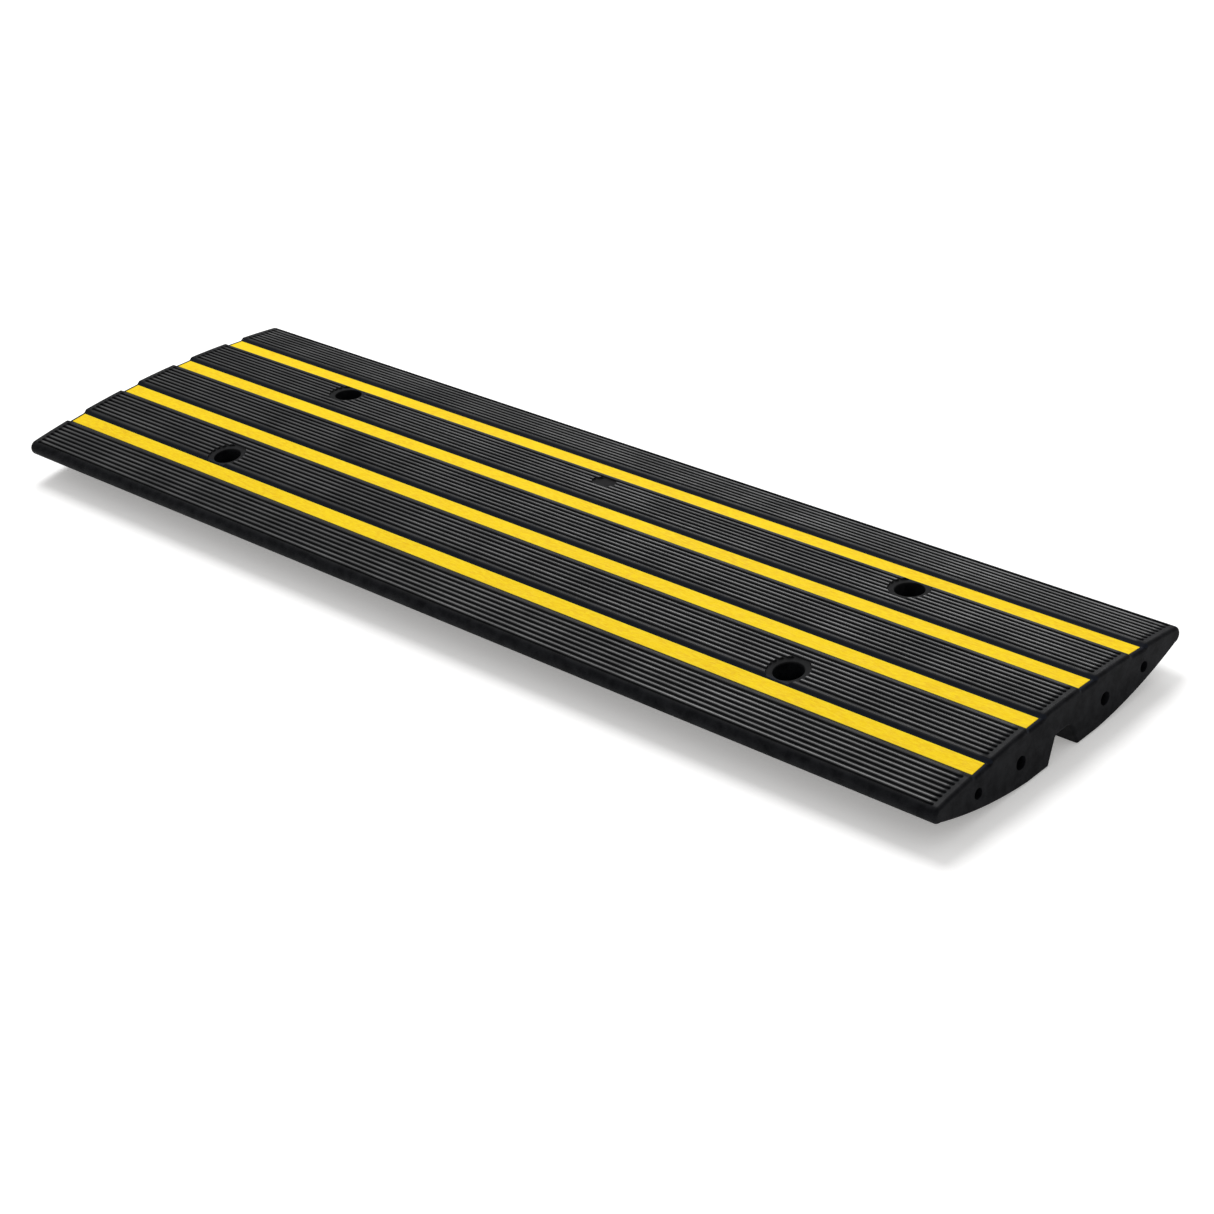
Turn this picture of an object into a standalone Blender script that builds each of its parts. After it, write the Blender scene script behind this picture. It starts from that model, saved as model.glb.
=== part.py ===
"""One section of a rubber speed bump, for Blender 4.5. Metres, +Z up.

A moulded rubber body with a slightly crowned, ribbed tread, four bonded yellow strips, four bolt holes with a
steel washer moulded into each, blind sockets in both ends for joining pins, and a channel along the underside.

The frame's origin is under the middle of the body, on the ground that its two feet stand on. +X runs along the
section, +Y across it and +Z up. Every height on the tread is measured down from the crown, an arc over Y.
"""

from math import asin, atan2, cos, pi, sin, sqrt, tan

import bmesh
import bpy
from mathutils import Matrix

# Overall size
LENGTH = 1.200
WIDTH = 0.350
HEIGHT = 0.053

# Outline across the section
CROWN_RADIUS = 1.200
LIP_RADIUS = 0.008
FOOT_OUTER = 0.050
BELLY_START_SLOPE = 0.07
END_ROUND = 0.0035

# Channel along the underside
CHANNEL_WIDTH = 0.043
CHANNEL_ROOF_WIDTH = 0.020
CHANNEL_DEPTH = 0.025
CHANNEL_CORNER = 0.005

# Yellow strips and the troughs that they lie in
STRIP_COUNT = 4
STRIP_WIDTH = 0.018
STRIP_PITCH = 0.074
STRIP_THICKNESS = 0.002
STRIP_BELOW_CREST = 0.0028
STRIP_END_INSET = 0.0045
TROUGH_LEDGE = 0.0005
SHOULDER_RUN = 0.0036

# Ribs, which are what the grooves leave standing
RIB_PITCH = 0.0056
GROOVE_WIDTH = 0.0026
GROOVE_DEPTH = 0.0020
GROOVE_END_INSET = 0.0075
LIP_MARGIN = 0.0070

# Bolt holes and their washers
BOLT_END_INSET = 0.224
BOLT_TO_STRIP = 0.0174
BOLT_BORE = 0.014
COUNTERBORE = 0.028
RING_DIAMETER = 0.040
RING_DEPTH = 0.0022
SEAT_HEIGHT = 0.020
WASHER_THICKNESS = 0.003

# Blind sockets in the end faces
SOCKET_DEPTH = 0.050
INNER_SOCKET = 0.0125
INNER_SOCKET_Y = 0.060
INNER_SOCKET_HEIGHT = 0.025
OUTER_SOCKET = 0.010
OUTER_SOCKET_Y = 0.118
OUTER_SOCKET_HEIGHT = 0.027

# Plain oval recess in the tread, midway along
PAD_LENGTH = 0.028
PAD_WIDTH = 0.020

GAP = 0.0003
OVERRUN = 0.010
TREAD_STEPS = 36
LIP_STEPS = 8
BELLY_STEPS = 10
CORNER_STEPS = 3
END_STEPS = 3
RING_SIDES = 40
HOLE_SIDES = 24
SHARP_ANGLE = 35 * pi / 180

SIDES = {"front": -1, "back": 1}
ENDS = {"left": -1, "right": 1}

STRIP_TO_GROOVE = TROUGH_LEDGE + SHOULDER_RUN + RIB_PITCH - GROOVE_WIDTH / 2
OUTER_STRIP_Y = STRIP_PITCH * (STRIP_COUNT - 1) / 2
BOLT_X = LENGTH / 2 - BOLT_END_INSET
BOLT_Y = OUTER_STRIP_Y - STRIP_WIDTH / 2 - BOLT_TO_STRIP


def crown_height(y):
    """Height of the rib crests at y."""
    return HEIGHT - CROWN_RADIUS + sqrt(CROWN_RADIUS**2 - y**2)


def crown_tilt(y):
    """Turn about X that stands an upright shape square to the crown at y."""
    return -asin(y / CROWN_RADIUS)


def lip_centre():
    """Centre (y, z) of the rounded lip, which touches the crown from below."""
    y = WIDTH / 2 - LIP_RADIUS
    return y, crown_height(y) - LIP_RADIUS / cos(crown_tilt(y))


def belly_height(y):
    """Height of the underside at y, from the foot's edge out to the lip."""
    lip_y, lip_z = lip_centre()
    span = lip_y - FOOT_OUTER
    bend = (lip_z - LIP_RADIUS - BELLY_START_SLOPE * span) / span**2
    out = max(abs(y) - FOOT_OUTER, 0.0)
    return BELLY_START_SLOPE * out + bend * out**2


def channel_outline():
    """Points (y, z) of the channel on +Y, from its mouth up the leaning wall and round the corner to the roof."""
    wall = atan2(CHANNEL_DEPTH, (CHANNEL_WIDTH - CHANNEL_ROOF_WIDTH) / 2)
    centre_y = CHANNEL_ROOF_WIDTH / 2 - CHANNEL_CORNER * tan(wall / 2)
    centre_z = CHANNEL_DEPTH - CHANNEL_CORNER
    first = pi / 2 - wall
    outline = [(CHANNEL_WIDTH / 2, 0.0)]
    for i in range(CORNER_STEPS + 1):
        turn = first + (pi / 2 - first) * i / CORNER_STEPS
        outline.append((centre_y + CHANNEL_CORNER * cos(turn), centre_z + CHANNEL_CORNER * sin(turn)))
    return outline


def half_outline():
    """Points (y, z) of the section on +Y, from the crown's middle round to the channel's roof."""
    lip_y, lip_z = lip_centre()
    tread = [(lip_y * i / TREAD_STEPS, crown_height(lip_y * i / TREAD_STEPS)) for i in range(TREAD_STEPS)]
    top_turn, bottom_turn = pi / 2 + crown_tilt(lip_y), -pi / 2
    lip = []
    for i in range(LIP_STEPS + 1):
        turn = top_turn + (bottom_turn - top_turn) * i / LIP_STEPS
        lip.append((lip_y + LIP_RADIUS * cos(turn), lip_z + LIP_RADIUS * sin(turn)))
    belly = []
    for i in range(1, BELLY_STEPS + 1):
        y = lip_y + (FOOT_OUTER - lip_y) * i / BELLY_STEPS
        belly.append((y, belly_height(y)))
    return tread + lip + belly + channel_outline()


def section_outline():
    """The whole closed section, as points (y, z)."""
    half = half_outline()
    mirrored = [(-y, z) for y, z in reversed(half) if y > 0]
    return half + mirrored


def new_collection(name):
    collection = bpy.data.collections.new(name)
    bpy.context.scene.collection.children.link(collection)
    return collection


def place(obj, collection):
    """Puts obj in this collection and in no other."""
    for old in list(obj.users_collection):
        old.objects.unlink(obj)
    collection.objects.link(obj)


def make_cutter(obj, collection):
    place(obj, collection)
    obj.hide_render = True
    obj.display_type = "WIRE"
    return obj


def mesh_from_curve(curve_object):
    """Replaces a curve object with a mesh object whose caps are welded."""
    bpy.context.view_layer.update()
    graph = bpy.context.evaluated_depsgraph_get()
    mesh = bpy.data.meshes.new_from_object(curve_object.evaluated_get(graph))
    bm = bmesh.new()
    bm.from_mesh(mesh)
    bmesh.ops.remove_doubles(bm, verts=bm.verts, dist=1e-6)
    bmesh.ops.recalc_face_normals(bm, faces=bm.faces)
    bm.to_mesh(mesh)
    bm.free()
    name, matrix = curve_object.name, curve_object.matrix_world.copy()
    bpy.data.objects.remove(curve_object)
    obj = bpy.data.objects.new(name, mesh)
    obj.matrix_world = matrix
    bpy.context.scene.collection.objects.link(obj)
    return obj


def flat_shape(name, outline, thickness, matrix):
    """A flat outline in the curve's own XY, thickened along its Z, then placed by the matrix."""
    curve = bpy.data.curves.new(name, "CURVE")
    curve.dimensions = "2D"
    curve.fill_mode = "BOTH"
    curve.extrude = thickness / 2
    spline = curve.splines.new("POLY")
    spline.points.add(len(outline) - 1)
    for point, (x, y) in zip(spline.points, outline):
        point.co = (x, y, 0.0, 1.0)
    spline.use_cyclic_u = True
    obj = bpy.data.objects.new(name, curve)
    obj.matrix_world = matrix
    bpy.context.scene.collection.objects.link(obj)
    return mesh_from_curve(obj)


def along_x(name, outline, length, y=0.0, z=0.0, tilt=0.0):
    """A straight bar along X with the section given as points (across, up)."""
    stand = Matrix.Rotation(pi / 2, 4, "Z") @ Matrix.Rotation(pi / 2, 4, "X")
    matrix = Matrix.Translation((0.0, y, z)) @ Matrix.Rotation(tilt, 4, "X") @ stand
    return flat_shape(name, outline, length, matrix)


def cylinder(name, radius, length, centre, sides=HOLE_SIDES, axis="Z"):
    """A closed cylinder on its centre, along Z or X."""
    bpy.ops.mesh.primitive_cylinder_add(vertices=sides, radius=radius, depth=length)
    obj = bpy.context.object
    obj.name = name
    turn = Matrix.Rotation(pi / 2, 4, "Y") if axis == "X" else Matrix.Identity(4)
    obj.matrix_world = Matrix.Translation(centre) @ turn
    return obj


def material(name, colour, roughness, metallic=0.0):
    made = bpy.data.materials.new(name)
    made.use_nodes = True
    shader = made.node_tree.nodes["Principled BSDF"]
    shader.inputs["Base Color"].default_value = (*colour, 1.0)
    shader.inputs["Roughness"].default_value = roughness
    shader.inputs["Metallic"].default_value = metallic
    return made


def shade_round(obj):
    obj.data.shade_smooth()
    obj.data.set_sharp_from_angle(angle=SHARP_ANGLE)


def round_ends(obj):
    """Bevels the edges round both end faces."""
    weights = obj.data.attributes.new("bevel_weight_edge", "FLOAT", "EDGE")
    points = [obj.matrix_world @ vertex.co for vertex in obj.data.vertices]
    for edge in obj.data.edges:
        a, b = (points[index].x for index in edge.vertices)
        at_end = abs(abs(a) - LENGTH / 2) < GAP and abs(a - b) < GAP
        weights.data[edge.index].value = 1.0 if at_end else 0.0
    bevel = obj.modifiers.new("end_round", "BEVEL")
    bevel.limit_method = "WEIGHT"
    bevel.width = END_ROUND
    bevel.segments = END_STEPS


def cut_all(obj, collection, name):
    """Cuts every object of the collection out of obj."""
    cut = obj.modifiers.new(name, "BOOLEAN")
    cut.operation = "DIFFERENCE"
    cut.solver = "EXACT"
    cut.operand_type = "COLLECTION"
    cut.collection = collection


def strip_centres():
    """Y of each strip's middle, front to back."""
    return [STRIP_PITCH * (i - (STRIP_COUNT - 1) / 2) for i in range(STRIP_COUNT)]


def groove_run(first, last):
    """Distances from 0 at which grooves lie, as many as the stretch from first to last holds."""
    count = int((last - first) / RIB_PITCH + 0.001) + 1
    return [RIB_PITCH * i for i in range(count)]


def grooves_in_panel(front, back):
    """Y of each groove of a panel between two strips, centred on it."""
    run = groove_run(front + STRIP_TO_GROOVE, back - STRIP_TO_GROOVE)
    start = (front + back - run[-1]) / 2
    return [start + step for step in run]


def grooves_in_outer_panel(side):
    """Y of each groove between the outer strip and the lip, set out from the strip."""
    start = OUTER_STRIP_Y + STRIP_WIDTH / 2 + STRIP_TO_GROOVE
    return [side * (start + step) for step in groove_run(start, WIDTH / 2 - LIP_MARGIN)]


def groove_places():
    """Y of every groove of the tread."""
    half_strip = STRIP_WIDTH / 2
    places = grooves_in_outer_panel(-1) + grooves_in_outer_panel(1)
    for before, after in zip(strip_centres(), strip_centres()[1:]):
        places += grooves_in_panel(before + half_strip, after - half_strip)
    return sorted(places)


def groove_outline():
    """Plan of a groove: straight sides and round ends."""
    half_length = LENGTH / 2 - GROOVE_END_INSET - GROOVE_WIDTH / 2
    radius = GROOVE_WIDTH / 2
    turns = [-pi / 2 + pi * i / 4 for i in range(5)]
    right = [(half_length + radius * cos(turn), radius * sin(turn)) for turn in turns]
    left = [(-x, -y) for x, y in right]
    return right + left


def make_grooves(cutters):
    for number, y in enumerate(groove_places()):
        matrix = Matrix.Translation((0.0, y, crown_height(y))) @ Matrix.Rotation(crown_tilt(y), 4, "X")
        groove = flat_shape(f"groove_{number}", groove_outline(), 2 * GROOVE_DEPTH, matrix)
        make_cutter(groove, cutters)


def make_troughs(flares, pockets):
    """A flared trough for each strip, and the pocket under it that holds the strip's thickness."""
    top = OVERRUN / 2
    low = -STRIP_BELOW_CREST
    floor_half = STRIP_WIDTH / 2 + TROUGH_LEDGE
    slope = SHOULDER_RUN / STRIP_BELOW_CREST
    flare_half = floor_half + slope * (top - low)
    flare = [(-floor_half, low), (floor_half, low), (flare_half, top), (-flare_half, top)]
    half = STRIP_WIDTH / 2
    bottom = low - STRIP_THICKNESS
    pocket = [(-half, bottom), (half, bottom), (half, top), (-half, top)]
    for number, y in enumerate(strip_centres()):
        z, tilt = crown_height(y), crown_tilt(y)
        make_cutter(along_x(f"flare_{number}", flare, LENGTH + 2 * OVERRUN, y, z, tilt), flares)
        length = LENGTH - 2 * STRIP_END_INSET
        make_cutter(along_x(f"pocket_{number}", pocket, length, y, z, tilt), pockets)


def bolt_places():
    """Name and (x, y) of each bolt hole."""
    return {f"{side}_{end}": (ENDS[end] * BOLT_X, SIDES[side] * BOLT_Y) for side in SIDES for end in ENDS}


def make_recess(name, x, y, collection):
    """A round cutter of unit size, set square to the crown at (x, y) and reaching RING_DEPTH into it."""
    recess = cylinder(name, 0.5, RING_DEPTH + OVERRUN, (0.0, 0.0, 0.0), RING_SIDES)
    up = Matrix.Translation((0.0, 0.0, (OVERRUN - RING_DEPTH) / 2))
    turn = Matrix.Rotation(crown_tilt(y), 4, "X")
    recess.matrix_world = Matrix.Translation((x, y, crown_height(y))) @ turn @ up
    return make_cutter(recess, collection)


def make_bolt_cutters(rings, counterbores, bores):
    deep = HEIGHT + OVERRUN - SEAT_HEIGHT
    through = SEAT_HEIGHT + 2 * OVERRUN
    for name, (x, y) in bolt_places().items():
        ring = make_recess(f"ring_{name}", x, y, rings)
        ring.data.transform(Matrix.Diagonal((RING_DIAMETER, RING_DIAMETER, 1.0, 1.0)))
        middle = (x, y, SEAT_HEIGHT + deep / 2)
        counterbore = cylinder(f"counterbore_{name}", COUNTERBORE / 2, deep, middle, RING_SIDES)
        make_cutter(counterbore, counterbores)
        bore = cylinder(f"bore_{name}", BOLT_BORE / 2, through, (x, y, SEAT_HEIGHT / 2))
        make_cutter(bore, bores)


def socket_places():
    """Name, diameter and (y, z) of each blind socket in one end face."""
    places = []
    for side, across in SIDES.items():
        places.append((f"inner_{side}", INNER_SOCKET, (across * INNER_SOCKET_Y, INNER_SOCKET_HEIGHT)))
        places.append((f"outer_{side}", OUTER_SOCKET, (across * OUTER_SOCKET_Y, OUTER_SOCKET_HEIGHT)))
    return places


def make_socket_cutters(cutters):
    length = SOCKET_DEPTH + OVERRUN
    for end, way in ENDS.items():
        x = way * (LENGTH / 2 - SOCKET_DEPTH + length / 2)
        for name, diameter, (y, z) in socket_places():
            socket = cylinder(f"socket_{name}_{end}", diameter / 2, length, (x, y, z), axis="X")
            make_cutter(socket, cutters)


def make_pad_cutter(cutters):
    """A plain oval recess in the tread, midway along, in line with the back bolt holes."""
    pad = make_recess("pad", 0.0, BOLT_Y, cutters)
    pad.data.transform(Matrix.Diagonal((PAD_LENGTH, PAD_WIDTH, 1.0, 1.0)))


def make_body(parts, rubber):
    """The moulded rubber body, with everything that is cut into it."""
    body = along_x("rubber_body", section_outline(), LENGTH)
    round_ends(body)
    kinds = ("flares", "pockets", "grooves", "rings", "counterbores", "bores", "sockets")
    cutters = new_collection("cutters")
    groups = {}
    for kind in kinds:
        groups[kind] = bpy.data.collections.new(kind)
        cutters.children.link(groups[kind])
    make_troughs(groups["flares"], groups["pockets"])
    make_grooves(groups["grooves"])
    make_bolt_cutters(groups["rings"], groups["counterbores"], groups["bores"])
    make_pad_cutter(groups["rings"])
    make_socket_cutters(groups["sockets"])
    for kind in kinds:
        cut_all(body, groups[kind], f"cut_{kind}")
    body.data.materials.append(rubber)
    shade_round(body)
    place(body, parts)


def make_strips(parts, yellow):
    """Four yellow strips, front to back, lying in their pockets."""
    names = ("strip_front_outer", "strip_front_inner", "strip_back_inner", "strip_back_outer")
    half = STRIP_WIDTH / 2 - GAP
    top = -STRIP_BELOW_CREST
    bottom = top - STRIP_THICKNESS + GAP
    outline = [(-half, bottom), (half, bottom), (half, top), (-half, top)]
    length = LENGTH - 2 * STRIP_END_INSET - 2 * GAP
    for name, y in zip(names, strip_centres()):
        strip = along_x(name, outline, length, y, crown_height(y), crown_tilt(y))
        strip.data.materials.append(yellow)
        place(strip, parts)


def make_washers(parts, steel):
    """A flat steel washer on the seat at the bottom of each counterbore."""
    outer = COUNTERBORE / 2 - GAP
    inner = BOLT_BORE / 2
    low = SEAT_HEIGHT + GAP
    high = low + WASHER_THICKNESS
    for name, (x, y) in bolt_places().items():
        mesh = bpy.data.meshes.new(f"seat_washer_{name}")
        profile = [(inner, 0.0, high), (outer, 0.0, high), (outer, 0.0, low), (inner, 0.0, low)]
        mesh.from_pydata(profile, [(0, 1), (1, 2), (2, 3), (3, 0)], [])
        washer = bpy.data.objects.new(f"seat_washer_{name}", mesh)
        washer.location = (x, y, 0.0)
        screw = washer.modifiers.new("turned", "SCREW")
        screw.steps = screw.render_steps = RING_SIDES
        screw.use_merge_vertices = True
        screw.merge_threshold = 0.00001
        washer.data.materials.append(steel)
        parts.objects.link(washer)


def main():
    for obj in list(bpy.data.objects):
        bpy.data.objects.remove(obj)
    parts = new_collection("rubber_speed_bump")
    make_body(parts, material("black_rubber", (0.022, 0.022, 0.024), 0.7))
    make_strips(parts, material("yellow_strip", (0.93, 0.62, 0.01), 0.5))
    make_washers(parts, material("zinc_steel", (0.55, 0.56, 0.58), 0.35, metallic=1.0))


main()
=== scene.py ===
"""The looks of a rubber speed bump section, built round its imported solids. Metres, +Z up.

The section lies along X and stands on its two feet at Z = 0. The moulded body, the yellow strips and the seat washers
are each made again here with the rounding, texture and finish of the real thing, and stand for their plain solids.
"""

import logging
from dataclasses import dataclass
from enum import Enum
from itertools import product
from math import asin, atan2, cos, pi, radians, sin, sqrt, tan

import bmesh
import bpy
from mathutils import Matrix, Vector


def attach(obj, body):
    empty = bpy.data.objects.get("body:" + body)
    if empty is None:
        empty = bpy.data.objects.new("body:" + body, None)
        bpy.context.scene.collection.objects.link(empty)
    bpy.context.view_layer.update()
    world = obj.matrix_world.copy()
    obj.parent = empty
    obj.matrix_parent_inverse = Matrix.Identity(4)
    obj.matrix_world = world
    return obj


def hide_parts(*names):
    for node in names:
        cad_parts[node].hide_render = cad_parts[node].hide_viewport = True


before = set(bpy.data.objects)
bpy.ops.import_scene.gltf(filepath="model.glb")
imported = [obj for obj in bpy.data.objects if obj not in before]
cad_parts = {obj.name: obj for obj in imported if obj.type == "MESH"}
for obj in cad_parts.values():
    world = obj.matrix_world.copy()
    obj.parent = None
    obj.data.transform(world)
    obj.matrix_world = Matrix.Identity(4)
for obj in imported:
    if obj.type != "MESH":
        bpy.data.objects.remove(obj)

Point2 = tuple[float, float]
Point3 = tuple[float, float, float]
Colour = tuple[float, float, float]
Band = tuple[float, float]
Object, Mesh, Material = bpy.types.Object, bpy.types.Mesh, bpy.types.Material
Node, Socket, Tree = bpy.types.Node, bpy.types.NodeSocket, bpy.types.NodeTree

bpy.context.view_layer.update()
LOG = logging.getLogger("speed_bump")

MITRE_LIMIT = 0.2
WELD_DISTANCE = 1e-7
CUTTER_FLARE = 0.0001
ROUND_SIDES = 96
SMALL_ROUND_SIDES = 64


class Slot(Enum):
    """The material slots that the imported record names."""

    RUBBER = "black_rubber"
    YELLOW = "yellow_strip"
    STEEL = "zinc_steel"


class Side(Enum):
    """Which long edge of the section a piece is nearer to."""

    FRONT = -1
    BACK = 1


class End(Enum):
    """Which end of the section a piece is nearer to."""

    LEFT = -1
    RIGHT = 1


# ---- plane geometry


def inset(outline: list[Point2], distance: float) -> list[Point2]:
    """Moves every edge of a closed outline inwards and meets neighbours at a mitre.

    Args:
        outline: Corners, anticlockwise.
        distance: How far to move inwards; below 0 is outwards.

    Returns:
        As many corners, in the same order.
    """
    moved = []
    count = len(outline)
    for i, (x, y) in enumerate(outline):
        before, after = outline[i - 1], outline[(i + 1) % count]
        a = Vector((x - before[0], y - before[1])).normalized()
        b = Vector((after[0] - x, after[1] - y)).normalized()
        na, nb = Vector((-a.y, a.x)), Vector((-b.y, b.x))
        mitre = (na + nb) / max(1 + na.dot(nb), MITRE_LIMIT)
        moved.append((x + mitre.x * distance, y + mitre.y * distance))
    return moved


def anticlockwise(outline: list[Point2]) -> list[Point2]:
    """Returns the outline, turned round if it runs clockwise."""
    area = sum(a[0] * b[1] - b[0] * a[1] for a, b in zip(outline, outline[1:] + outline[:1]))
    return outline if area > 0 else outline[::-1]


def mirrored(half: list[Point2]) -> list[Point2]:
    """Closes an outline whose right half is given, anticlockwise."""
    return anticlockwise(half + [(-u, v) for u, v in reversed(half)])


def softened(corner: Point2, before: Point2, after: Point2, reach: float, steps: int) -> list[Point2]:
    """Rounds one corner with a parabola that starts and ends a set distance from it.

    Args:
        corner: The corner.
        before: A point on the edge that comes in.
        after: A point on the edge that goes out.
        reach: How far from the corner the rounding starts and ends.
        steps: Number of straight pieces.

    Returns:
        The points of the rounding.
    """
    c = Vector(corner)
    start = c + (Vector(before) - c).normalized() * reach
    end = c + (Vector(after) - c).normalized() * reach
    points = []
    for i in range(steps + 1):
        t = i / steps
        point = start * (1 - t) ** 2 + c * 2 * t * (1 - t) + end * t**2
        points.append((point.x, point.y))
    return points


# ---- mesh building


def object_from(name: str, verts: list, faces: list, matrix: Matrix | None = None) -> Object:
    """Makes a closed mesh object at the origin with its faces turned outwards.

    Args:
        name: Name of the object and its mesh.
        verts: Points, before the matrix.
        faces: Index lists.
        matrix: Puts the points in place.

    Returns:
        The new object, linked to the scene.
    """
    mesh = bpy.data.meshes.new(name)
    mesh.from_pydata(verts, [], faces)
    if matrix is not None:
        mesh.transform(matrix)
    work = bmesh.new()
    work.from_mesh(mesh)
    bmesh.ops.remove_doubles(work, verts=work.verts, dist=WELD_DISTANCE)
    bmesh.ops.recalc_face_normals(work, faces=work.faces)
    work.to_mesh(mesh)
    work.free()
    return linked(bpy.data.objects.new(name, mesh))


def loft(name: str, rings: list[list[Point3]], matrix: Matrix | None = None) -> Object:
    """Joins rings of equally many points into one solid, capped at both ends.

    Args:
        name: Name of the object.
        rings: Points of each ring, from one end of the solid to the other.
        matrix: Puts the solid in place.

    Returns:
        The solid.
    """
    count = len(rings[0])
    verts = [point for ring in rings for point in ring]
    faces = [list(range(count)), list(range(len(verts) - count, len(verts)))]
    for r in range(len(rings) - 1):
        for i in range(count):
            j = (i + 1) % count
            low, high = r * count, (r + 1) * count
            faces.append([low + i, low + j, high + j, high + i])
    return object_from(name, verts, faces, matrix)


def swept(name: str, outline: list[Point2], stations: list[Point2], matrix: Matrix | None = None) -> Object:
    """Runs an outline given as (across, up) along X.

    Args:
        name: Name of the object.
        outline: Corners, anticlockwise.
        stations: (x, inset of the outline there), in order.
        matrix: Puts the solid in place.

    Returns:
        The solid.
    """
    return loft(name, [[(x, a, b) for a, b in inset(outline, d)] for x, d in stations], matrix)


def round_ends(half: float, radius: float, steps: int, past: float = 0.0) -> list[Point2]:
    """Stations of a sweep that is rounded over at both ends.

    Args:
        half: Half the length.
        radius: Radius of the rounding; below 0 opens the outline out instead of drawing it in.
        steps: Number of straight pieces of each rounding.
        past: How far the sweep goes on beyond its length.

    Returns:
        (x, inset) pairs from left to right.
    """
    reach = abs(radius)
    turns = [pi / 2 * i / steps for i in range(steps + 1)]
    right = [(half - reach + reach * sin(turn), radius * (1 - cos(turn))) for turn in turns]
    if past:
        right.append((half + past, right[-1][1]))
    return [(-x, d) for x, d in reversed(right)] + right


def turned(name: str, profile: list[Point2], sides: int, matrix: Matrix | None = None) -> Object:
    """Turns a profile about Z and caps it at both ends.

    Args:
        name: Name of the object.
        profile: (radius, height) points, from one end to the other, all off the axis.
        sides: Number of flats round the axis.
        matrix: Puts the solid in place.

    Returns:
        The solid.
    """
    rings = []
    for radius, height in profile:
        turns = [2 * pi * i / sides for i in range(sides)]
        rings.append([(radius * cos(turn), radius * sin(turn), height) for turn in turns])
    return loft(name, rings, matrix)


def linked(made: Object) -> Object:
    """Links an object to the scene and returns it."""
    bpy.context.scene.collection.objects.link(made)
    return made


def evaluated_mesh(obj: Object, name: str) -> Mesh:
    """Returns the object's mesh with its modifiers taken in."""
    bpy.context.view_layer.update()
    graph = bpy.context.evaluated_depsgraph_get()
    mesh = bpy.data.meshes.new_from_object(obj.evaluated_get(graph))
    mesh.name = name
    return mesh


def discard(objects: list[Object]) -> None:
    """Removes helper objects and their meshes."""
    for obj in objects:
        mesh = obj.data
        bpy.data.objects.remove(obj)
        if mesh.users == 0:
            bpy.data.meshes.remove(mesh)


def cut(body: Object, cutters: list[Object]) -> None:
    """Cuts a group of cutters out of the body, then removes them.

    Args:
        body: The object that is cut; it gets a new mesh.
        cutters: Closed solids.
    """
    group = bpy.data.collections.new("cutters")
    bpy.context.scene.collection.children.link(group)
    for cutter in cutters:
        group.objects.link(cutter)
    modifier = body.modifiers.new("cut", "BOOLEAN")
    modifier.operation = "DIFFERENCE"
    modifier.solver = "EXACT"
    modifier.operand_type = "COLLECTION"
    modifier.collection = group
    mesh = evaluated_mesh(body, body.data.name)
    body.modifiers.clear()
    body.data = mesh
    discard(cutters)
    bpy.data.collections.remove(group)


def smooth(obj: Object, angle: float = 32.0) -> None:
    """Shades smooth across every edge that bends less than an angle.

    Args:
        obj: The object to shade.
        angle: The angle, in degrees.
    """
    obj.data.shade_smooth()
    obj.data.set_sharp_from_angle(angle=radians(angle))
    weighted = obj.modifiers.new("even_normals", "WEIGHTED_NORMAL")
    weighted.keep_sharp = True


# ---- node wiring


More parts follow.
